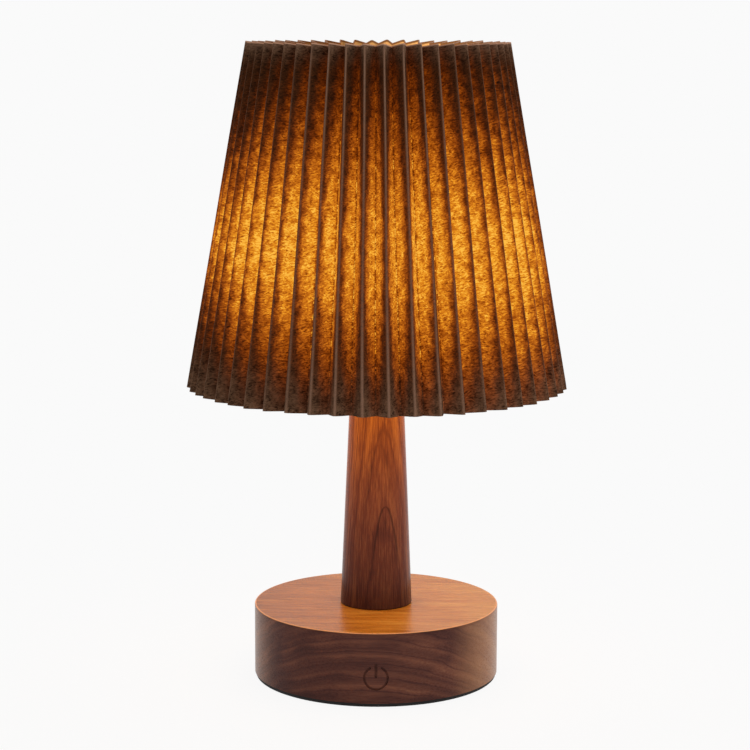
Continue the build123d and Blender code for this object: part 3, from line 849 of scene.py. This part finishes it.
class Finish(Protocol):
    """Anything that builds a material."""

    def material(self) -> bpy.types.Material:
        """Builds the material."""


def paint(finish: Finish, *nodes: str) -> None:
    """Gives carried-over pieces their finish.

    Args:
        finish: The finish.
        nodes: Names of the pieces.
    """
    material = finish.material()
    for node in nodes:
        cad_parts[node].material_slots[0].material = material
        log.info("%s wears %s", node, material.name)


@dataclass
class Studio:
    """Pale floor and soft surrounding light, stronger from behind and from the right."""

    background: float = 0.956
    level: float = 0.7
    from_right: float = 0.31
    from_behind: float = 0.28
    floor_half_side: float = 4.0
    floor_drop: float = 0.00005
    floor_share: float = 0.07
    floor_shown_light: float = 0.7
    floor_bounce: float = 0.8

    @staticmethod
    def _seen_directly(graph: Graph) -> Signal:
        """Tells the rays that show a surface from those that only light it.

        Args:
            graph: The graph that asks.

        Returns:
            One for rays from the camera and for reflected or refracted rays, and else zero.
        """
        kinds = ("Is Camera Ray", "Is Glossy Ray", "Is Transmission Ray")
        seen, mirrored, refracted = (graph.node("ShaderNodeLightPath", output=kind) for kind in kinds)
        return graph.math("MINIMUM", seen + mirrored + refracted, 1.0)

    def surround(self) -> None:
        """Lights the scene from all round. The strength changes evenly with the direction's X and Y."""
        world = bpy.data.worlds.new("studio")
        bpy.context.scene.world = world
        graph = Graph(world)
        direction = graph.node("ShaderNodeTexCoord", output="Generated")
        x, y, _ = graph.split(direction)
        strength = x * self.from_right + y * self.from_behind + self.level
        seen = self._seen_directly(graph)
        colour = graph.blend(seen, graph.join(strength, strength, strength), (self.background,) * 3)
        shader = graph.node("ShaderNodeBackground", inputs={"Color": colour})
        graph.node("ShaderNodeOutputWorld", inputs={"Surface": shader}, output=None)

    def floor(self) -> None:
        """Makes the floor, which shows the background's white less the lamp's soft shadow."""
        reach = self.floor_half_side
        corners = [(-reach, -reach), (reach, -reach), (reach, reach), (-reach, reach)]
        mesh = bpy.data.meshes.new("floor")
        mesh.from_pydata([(x, y, -self.floor_drop) for x, y in corners], [], [(0, 1, 2, 3)])
        graph = Graph.of_material("floor")
        white = self.background - self.floor_share * self.floor_shown_light
        even = graph.node("ShaderNodeEmission", inputs={"Color": (white,) * 3})
        shaded = graph.node("ShaderNodeBsdfDiffuse", inputs={"Color": (self.floor_share,) * 3})
        shown = graph.node("ShaderNodeAddShader", inputs={0: even, 1: shaded})
        bounce = graph.node("ShaderNodeBsdfDiffuse", inputs={"Color": (self.floor_bounce,) * 3})
        mixed = graph.node("ShaderNodeMixShader", inputs={0: self._seen_directly(graph), 1: bounce, 2: shown})
        graph.node("ShaderNodeOutputMaterial", inputs={"Surface": mixed}, output=None)
        graph.owner.cycles.emission_sampling = "NONE"
        mesh.materials.append(graph.owner)
        linked("floor", mesh)


@dataclass
class Viewpoint:
    """Camera in front of the lamp, a little above the shade's rim."""

    place: tuple[float, float, float] = (-0.00079, -0.92, 0.2712)
    down: float = math.radians(9.06)
    roll: float = math.radians(0.2)
    lens: float = 110.03
    sensor: float = 36.0

    def set_up(self) -> None:
        """Makes the camera and sets it as the scene's."""
        data = bpy.data.cameras.new("viewpoint")
        data.lens = self.lens
        data.sensor_fit = "HORIZONTAL"
        data.sensor_width = self.sensor
        data.clip_start = 0.01
        camera = linked("viewpoint", data)
        tilt = Matrix.Rotation(math.pi / 2 - self.down, 4, "X")
        camera.matrix_world = Matrix.Translation(self.place) @ tilt @ Matrix.Rotation(self.roll, 4, "Z")
        bpy.context.scene.camera = camera


@dataclass
class Base:
    """Walnut base with its pad, cover, charging socket and charge light."""

    top: float
    radius: float

    @classmethod
    def from_frame(cls) -> "Base":
        """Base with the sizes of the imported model."""
        low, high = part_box("base_body")
        return cls(top=high.z, radius=(high.x - low.x) / 2)

    def dress(self) -> None:
        """Gives the base's pieces their finishes."""
        wood = BaseWalnut(
            name="walnut_base",
            grain=Grain.ALONG_X,
            layers_face=(0.04, 0.55, 0.83),
            dark=srgb(54, 32, 31),
            middle=srgb(85, 50, 44),
            light=srgb(124, 78, 62),
            pale=srgb(196, 146, 104),
            layer_width=4.2,
            broad_share=0.72,
            streak_share=0.2,
            line_share=0.14,
            refraction=1.2,
            top_level=self.top / MILLIMETRE,
            skin_radius=self.radius / MILLIMETRE,
        )
        paint(wood, "base_body")
        pad = Moulded("foot_pad", srgb(24, 22, 21), 0.85, texture_depth=0.08, texture_size=0.5)
        paint(pad, "foot_pad")
        paint(Moulded("cover_plastic", srgb(34, 33, 33), 0.5), "base_plate", "battery_cradle")
        paint(Moulded("bezel_plastic", srgb(30, 29, 29), 0.38), "port_bezel")
        paint(Moulded("light_guide", srgb(226, 228, 224), 0.25, texture_depth=0.004), "charge_light")
        paint(Turned("black_steel", srgb(46, 45, 45), 0.4), "plate_screws")
        paint(Turned("socket_steel", srgb(196, 194, 190), 0.3), "usb_c_port")


class Electronics:
    """Cell, boards, wires and the touch electrode inside the base."""

    def dress(self) -> None:
        """Gives the inner pieces their finishes."""
        paint(Moulded("cell_wrap", srgb(52, 96, 150), 0.3, texture_depth=0.004), "battery_cell")
        paint(Turned("nickel", srgb(204, 198, 186), 0.3), "battery_tabs")
        insulation = Moulded("wire_insulation", srgb(150, 28, 26), 0.4, texture_depth=0.004)
        paint(insulation, "battery_leads", "touch_lead", "led_leads")
        paint(CircuitBoard("circuit_board", srgb(18, 74, 44), srgb(28, 96, 58)), "main_board")
        paint(Moulded("board_parts", srgb(30, 30, 32), 0.42), "board_parts")
        paint(Turned("steel", srgb(180, 178, 174), 0.32), "board_screws", "threaded_tube")
        paint(Turned("copper", srgb(206, 128, 88), 0.26), "touch_pad")


@dataclass
class Column:
    """Walnut stem and the hardware that pulls it onto the base."""

    foot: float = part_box("stem")[0].z

    def dress(self) -> None:
        """Gives the stem and its hardware their finishes."""
        wood = StemWalnut(
            name="walnut_stem",
            grain=Grain.ALONG_Z,
            layers_face=(-0.28, 1.0, 0.03),
            dark=srgb(67, 34, 29),
            middle=srgb(116, 63, 46),
            light=srgb(158, 98, 64),
            pale=srgb(195, 140, 94),
            layer_width=3.0,
            broad_share=0.5,
            streak_share=0.55,
            line_share=0.25,
            pore_share=0.8,
            roughness=0.27,
            refraction=1.18,
            foot_level=self.foot / MILLIMETRE,
        )
        paint(wood, "stem")
        paint(Turned("zinc_steel", srgb(186, 184, 176), 0.3), "base_washer", "base_nut")


@dataclass
class LightSource:
    """Holder on the stem with the light's board, its chips and the frosted cap."""

    cap_foot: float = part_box("diffuser")[0].z
    cap_crown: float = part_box("diffuser")[1].z

    def dress(self) -> None:
        """Gives the light source its finishes."""
        paint(Moulded("holder_plastic", srgb(40, 38, 37), 0.42), "lamp_holder")
        paint(CircuitBoard("light_board", srgb(222, 222, 218), srgb(232, 232, 228)), "led_board")
        paint(Moulded("light_chips", srgb(250, 214, 120), 0.3, glow=4.0), "led_chips")
        paint(FrostedCap(self.cap_foot / MILLIMETRE, self.cap_crown / MILLIMETRE), "diffuser")


class ShadeCarrier:
    """Collar, spider, clamp and wire rings that carry the paper."""

    def dress(self) -> None:
        """Gives the shade's hardware its finishes."""
        paint(Moulded("nylon", srgb(232, 228, 216), 0.4), "seat_washer")
        brass = Turned("satin_brass", srgb(188, 152, 96), 0.3)
        paint(brass, "shade_collar", "clamp_washer", "shade_ring_nut")
        wire = Moulded("painted_wire", srgb(226, 222, 212), 0.35, texture_depth=0.006)
        paint(wire, "shade_spider", "top_ring", "bottom_ring")


class Face(IntEnum):
    """Faces of the paper, by the slot of their material."""

    OUTSIDE = 0
    INSIDE = 1
    CUT = 2


@dataclass
class PleatedShade:
    """Round shade of pleated paper, glued to the wire rings.

    Each panel spans two folds. A fold is a straight line from the lower rim to the upper rim, and the creases
    between panels are rounded. In front the ridges stand a little wider apart in the middle and closer at
    both sides, more so at the upper rim, which is also turned a little to the left. Pairs of values are for
    the lower and the upper rim. In panel widths, ridge_round and valley_round say how far a crease reaches
    from its fold, and columns where the mesh has its columns between a ridge and the next valley.
    """

    bottom_radius: float
    bottom_height: float
    top_radius: float
    top_height: float
    first_fold: float
    spread: tuple[float, float] = (math.radians(0.9), math.radians(1.7))
    turn: tuple[float, float] = (0.0, math.radians(-0.7))
    spread_waves: float = 2.86
    front_gain: float = 3.0
    pleats: int = 50
    panel_width: float = 0.0095
    thickness: float = 0.00045
    ridge_round: float = 0.28
    valley_round: float = 0.06
    cut_square: tuple[float, float] = (0.68, 0.75)
    uneven_cut: float = 0.0002
    rows: int = 34
    columns: tuple[float, ...] = (
        *(0.0, 0.04, 0.085, 0.135, 0.185, 0.235, 0.29),
        *(0.45, 0.65, 0.84),
        *(0.925, 0.95, 0.975),
    )
    wobble: float = 0.00022
    round_waves: float = 2.4
    out_waves: float = 3.1
    drift: float = 0.006
    bow: float = 0.0002
    seed: int = 11

    @classmethod
    def from_frame(cls) -> "PleatedShade":
        """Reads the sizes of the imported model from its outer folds' ends.

        Returns:
            The shade with these sizes.
        """
        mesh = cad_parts["shade_paper"].data
        points = np.zeros(len(mesh.vertices) * 3, np.float32)
        mesh.vertices.foreach_get("co", points)
        points = points.reshape(-1, 3).astype(float)
        radii = np.hypot(points[:, 0], points[:, 1])
        lowest, highest = int(radii.argmax()), int(points[:, 2].argmax())
        pitch = 2 * math.pi / cls.pleats
        angle = math.atan2(points[lowest, 1], points[lowest, 0])
        front = -math.pi / 2
        return cls(
            bottom_radius=radii[lowest],
            bottom_height=points[lowest, 2],
            top_radius=radii[highest],
            top_height=points[highest, 2],
            first_fold=front + (angle - front) % pitch,
        )

    @property
    def lean(self) -> float:
        """Slope of the folds from upright, as a tangent."""
        return (self.bottom_radius - self.top_radius) / (self.top_height - self.bottom_height)

    @property
    def fold_length(self) -> float:
        """Length of an outer fold."""
        return math.hypot(self.bottom_radius - self.top_radius, self.top_height - self.bottom_height)

    def _fold_radii(self, outer_fold: float) -> tuple[tuple[float, float], tuple[float, float]]:
        """Radii of the folds at a rim.

        The valley follows from the panel's width between two folds, as the rim is cut square to the folds.

        Args:
            outer_fold: Radius of the ridges on the outer skin.

        Returns:
            Ridge and valley radius on the outer skin, and those on the inner one.
        """
        half_pitch = math.pi / self.pleats
        drop = self.lean**2
        b = -2 * outer_fold * (math.cos(half_pitch) + drop)
        c = outer_fold**2 * (1 + drop) - self.panel_width**2
        valley = (-b - math.sqrt(b * b - 4 * (1 + drop) * c)) / (2 * (1 + drop))
        opening = math.atan(valley * math.sin(half_pitch) / (outer_fold - valley * math.cos(half_pitch)))
        inner_ridge = outer_fold - self.thickness / math.sin(opening)
        inner_valley = valley - self.thickness / math.sin(opening + half_pitch)
        return (outer_fold, valley), (inner_ridge, inner_valley)

    def _fold_angles(self) -> tuple[Array, Array]:
        """Angles of the folds.

        Ridges stand evenly but for the spread and turn in front and a small seeded drift. A valley lies
        halfway between its ridges, with a drift of its own.

        Returns:
            Angle of each fold at the lower rim and at the upper one.
        """
        draw = np.random.default_rng(self.seed + 2)
        even = self.first_fold + np.arange(self.pleats) * 2 * math.pi / self.pleats
        from_front = (even + 1.5 * math.pi) % (2 * math.pi) - math.pi
        in_front = np.clip(self.front_gain * np.cos(from_front), 0.0, 1.0)
        wave = np.sin(self.spread_waves * from_front)
        rims = []
        for spread, turn in zip(self.spread, self.turn):
            ridges = even + in_front * (turn + spread * wave)
            ridges = ridges + draw.uniform(-self.drift, self.drift, self.pleats)
            after = np.append(ridges[1:], ridges[0] + 2 * math.pi)
            valleys = (ridges + after) / 2 + draw.uniform(-self.drift, self.drift, self.pleats)
            rims.append(np.stack([ridges, valleys], axis=-1).reshape(-1))
        return rims[0], rims[1]

    def _folds(self, skin: int) -> Array:
        """Fold lines of one skin.

        Each line runs straight between its two rim points. Seeded waves along it move it a little round the
        shade and in or out, as hand-folded paper does. Ridges stand out by what their rounding takes off.

        Args:
            skin: 0 for the outer skin, 1 for the inner one.

        Returns:
            Rows by folds by three, in metres.
        """
        folds = 2 * self.pleats
        index = np.arange(folds)
        up = np.linspace(0.0, 1.0, self.rows)[:, None]
        draw = np.random.default_rng(self.seed)
        rims = ((self.bottom_radius, self.bottom_height), (self.top_radius, self.top_height))
        ends = []
        for (outer_fold, rim), square in zip(rims, self.cut_square):
            ridge, valley = self._fold_radii(outer_fold)[skin]
            radius = np.where(index % 2 == 0, ridge + 0.5 * self.ridge_round * (ridge - valley), valley)
            uneven = draw.uniform(-self.uneven_cut, self.uneven_cut, folds)
            ends.append((radius, rim - (outer_fold - radius) * self.lean * square + uneven))
        (low_radius, low_height), (high_radius, high_height) = ends
        phase = draw.uniform(0.0, 2 * math.pi, (2, folds))
        shift = draw.uniform(-1.0, 1.0, (2, folds))
        swing = np.sin(self.round_waves * math.pi * up + phase[0])
        bulge = np.sin(self.out_waves * math.pi * up + phase[1])
        round_it = self.wobble * (shift[0] * (index % 2) + 0.5 * swing)
        outwards = 0.5 * self.wobble * (shift[1] + 0.6 * bulge)
        radius = low_radius + (high_radius - low_radius) * up + outwards
        low_angle, high_angle = self._fold_angles()
        angle = low_angle + (high_angle - low_angle) * up + round_it / radius
        height = low_height + (high_height - low_height) * up
        return np.stack([radius * np.cos(angle), radius * np.sin(angle), height], axis=-1)

    def _skin(self, folds: Array, counts: Array) -> Array:
        """Folded surface through the fold lines.

        A point is a weighted mean of its nearest fold and the folds on both sides. The weights are those of
        the straight panels, averaged over a short stretch to each side, which rounds the creases. Halfway
        between two folds the panel bows out a little.

        Args:
            folds: Rows by folds by three.
            counts: Where the columns lie, counted in panels.

        Returns:
            Rows by columns by three.
        """
        nearest = np.rint(counts).astype(int)
        offset = counts - nearest
        reach = np.where(nearest % 2 == 0, self.ridge_round, self.valley_round)
        ahead = np.where(offset >= reach, offset, np.clip(offset + reach, 0, None) ** 2 / (4 * reach))
        behind = np.where(-offset >= reach, -offset, np.clip(reach - offset, 0, None) ** 2 / (4 * reach))
        total = folds.shape[1]
        here, after, before = nearest % total, (nearest + 1) % total, (nearest - 1) % total
        weights = [w[None, :, None] for w in (1 - ahead - behind, ahead, behind)]
        points = sum(w * folds[:, k] for w, k in zip(weights, (here, after, before)))
        draw = np.random.default_rng(self.seed + 1)
        bows = self.bow * draw.uniform(0.3, 1.0, total)
        panel = np.floor(counts).astype(int) % total
        rounded = np.clip(np.sin(math.pi * (counts - np.floor(counts))), 0, None) ** 1.5
        outward = points[..., :2] / np.linalg.norm(points[..., :2], axis=-1, keepdims=True)
        points[..., :2] += outward * (bows[panel] * rounded)[None, :, None]
        return points

    def build(self) -> None:
        """Makes the paper: the outer skin upwards, the inner skin downwards, closed over both rims."""
        panel = np.array(self.columns)
        pleat = np.concatenate([panel, 2 - np.append(panel[1:], 1.0)[::-1]])
        counts = (2 * np.arange(self.pleats)[:, None] + pleat[None, :]).reshape(-1)
        skins = [self._skin(self._folds(skin), counts) for skin in (0, 1)]
        points = np.concatenate([skins[0], skins[1][::-1]])
        up = np.linspace(0.0, 1.0, self.rows)
        along = np.concatenate([up, up[::-1], [0.0]])
        across = np.append(counts, 2 * self.pleats)
        faces_round = [Face.OUTSIDE, Face.CUT, Face.INSIDE, Face.CUT]
        faces_of = np.repeat(faces_round, [self.rows - 1, 1, self.rows - 1, 1])
        paper = PleatedPaper(
            panel_width=self.panel_width / MILLIMETRE,
            fold_length=self.fold_length / MILLIMETRE,
            low_rim=self.bottom_height / MILLIMETRE,
            high_rim=self.top_height / MILLIMETRE,
        )
        materials = [paper.outside(), paper.inside(), paper.cut()]
        made = grid_object("pleated_paper", points, across, along, faces_of, materials)
        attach(made, "shade")
        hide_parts("shade_paper")
        log.info("pleated_paper: %d faces, folds %.1f mm long", len(made.data.polygons), paper.fold_length)


def main() -> None:
    """Builds the scene in order: studio, camera, base, inside, stem, light source and shade."""
    bpy.context.scene.view_settings.view_transform = "Standard"
    studio = Studio()
    studio.surround()
    studio.floor()
    Viewpoint().set_up()
    Base.from_frame().dress()
    Electronics().dress()
    Column().dress()
    LightSource().dress()
    ShadeCarrier().dress()
    PleatedShade.from_frame().build()


if __name__ == "__main__":
    main()
